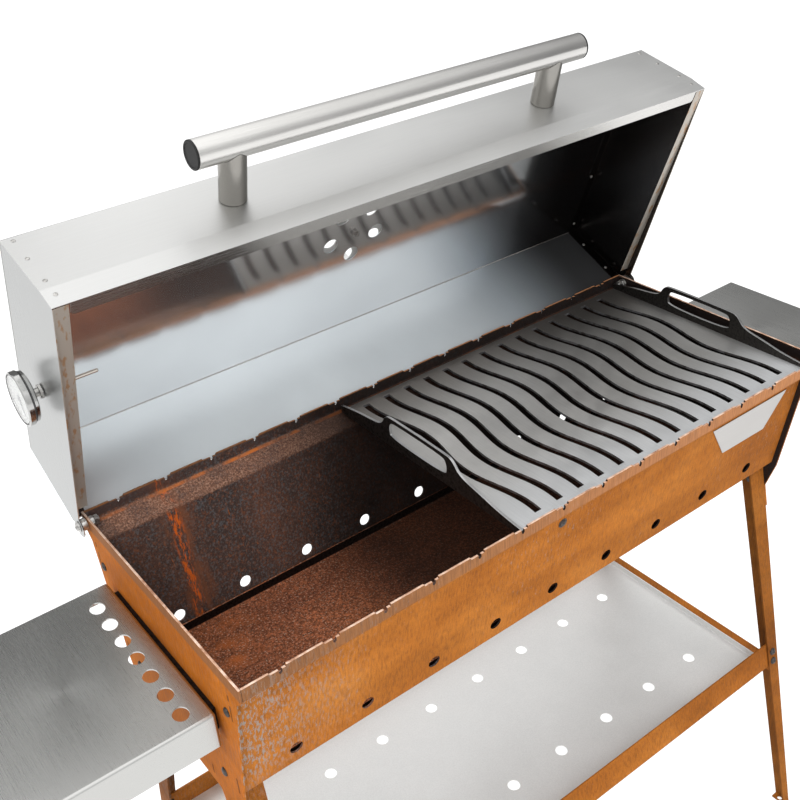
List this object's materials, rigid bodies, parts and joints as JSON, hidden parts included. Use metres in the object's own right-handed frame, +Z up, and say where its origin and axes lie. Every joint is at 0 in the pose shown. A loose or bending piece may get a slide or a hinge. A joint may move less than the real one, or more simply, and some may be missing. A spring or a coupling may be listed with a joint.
{
  "type": "charcoal smoker grill",
  "caption": "Long rectangular charcoal smoker grill with a hinged lid, side tables, sliding lift-out grate, splayed legs and a lower shelf.",
  "frame": {"origin": "on the floor, under the middle of the whole object's bounding box", "axes": "+X along the trough to the grate end, +Y from the user's side to the lid hinge, +Z up"},
  "size_m": [1.486, 0.6054, 1.3838],
  "materials": {
    "weathering_steel": "rusty, matte, with fine vertical grain",
    "burnt_steel": "dark scale and granular rust",
    "plain_plate": "satin",
    "shelf_steel": "satin",
    "stainless": "brushed",
    "brushed_tube": "fine brushed",
    "dark_trim": "gloss",
    "zinc_hardware": "dull",
    "gauge_glass": "clear",
    "needle_paint": "matte",
    "grate_steel": "matte grey"
  },
  "bodies": {
    "frame": {"front_wall": "weathering_steel", "back_wall": "weathering_steel", "left_end_plate": "weathering_steel", "right_end_plate": "weathering_steel", "leg_front_left": "weathering_steel", "leg_front_right": "weathering_steel", "leg_back_left": "weathering_steel", "leg_back_right": "weathering_steel", "rail_front": "weathering_steel", "rail_back": "weathering_steel", "rail_left": "weathering_steel", "rail_right": "weathering_steel", "ember_tray": "burnt_steel", "badge_plate": "plain_plate", "shelf_plate": "shelf_steel", "table_left": "stainless", "table_right": "stainless", "table_bracket_left": "dark_trim", "table_bracket_right": "dark_trim", "leg_bolt_front_left": "zinc_hardware", "leg_bolt_front_right": "zinc_hardware", "leg_bolt_back_left": "zinc_hardware", "leg_bolt_back_right": "zinc_hardware", "rail_bolt_upper_front_left": "zinc_hardware", "rail_bolt_upper_front_right": "zinc_hardware", "rail_bolt_upper_back_left": "zinc_hardware", "rail_bolt_upper_back_right": "zinc_hardware", "rail_bolt_lower_front_left": "zinc_hardware", "rail_bolt_lower_front_right": "zinc_hardware", "rail_bolt_lower_back_left": "zinc_hardware", "rail_bolt_lower_back_right": "zinc_hardware", "hinge_bolt_left": "zinc_hardware", "hinge_bolt_right": "zinc_hardware", "hinge_nut_left": "zinc_hardware", "hinge_nut_right": "zinc_hardware", "hinge_spacer_left": "zinc_hardware", "hinge_spacer_right": "zinc_hardware"},
    "lid": {"lid_skin": "stainless", "lid_left_end": "stainless", "lid_right_end": "stainless", "handle_tube": "brushed_tube", "handle_post_left": "brushed_tube", "handle_post_right": "brushed_tube", "handle_cap_left": "dark_trim", "handle_cap_right": "dark_trim", "damper_screw": "zinc_hardware", "gauge_case": "stainless", "gauge_stem": "zinc_hardware", "gauge_probe": "zinc_hardware", "gauge_glass": "gauge_glass"},
    "damper": {"damper_disc": "stainless"},
    "needle": {"gauge_needle": "needle_paint"},
    "grate": {"grate": "grate_steel"}
  },
  "joints": [
    {"name": "lid_hinge", "type": "hinge", "parent": "frame", "child": "lid", "pos_m": [0, 0.16945, 0.9144], "axis": [1, 0, 0], "range_deg": [0, 68.8]},
    {"name": "damper_turn", "type": "hinge", "parent": "lid", "child": "damper", "pos_m": [-0.009, 0.23386, 1.14682], "axis": [0, 0.9323, 0.3616], "range_deg": [-12, 24]},
    {"name": "needle_turn", "type": "hinge", "parent": "lid", "child": "needle", "pos_m": [-0.5375, 0.16505, 1.12013], "axis": [1, 0, 0], "range_deg": [0, 270]},
    {"name": "grate_slide", "type": "slide", "parent": "frame", "child": "grate", "axis": [-1, 0, 0], "range_m": [0, 0.38]}
  ]
}
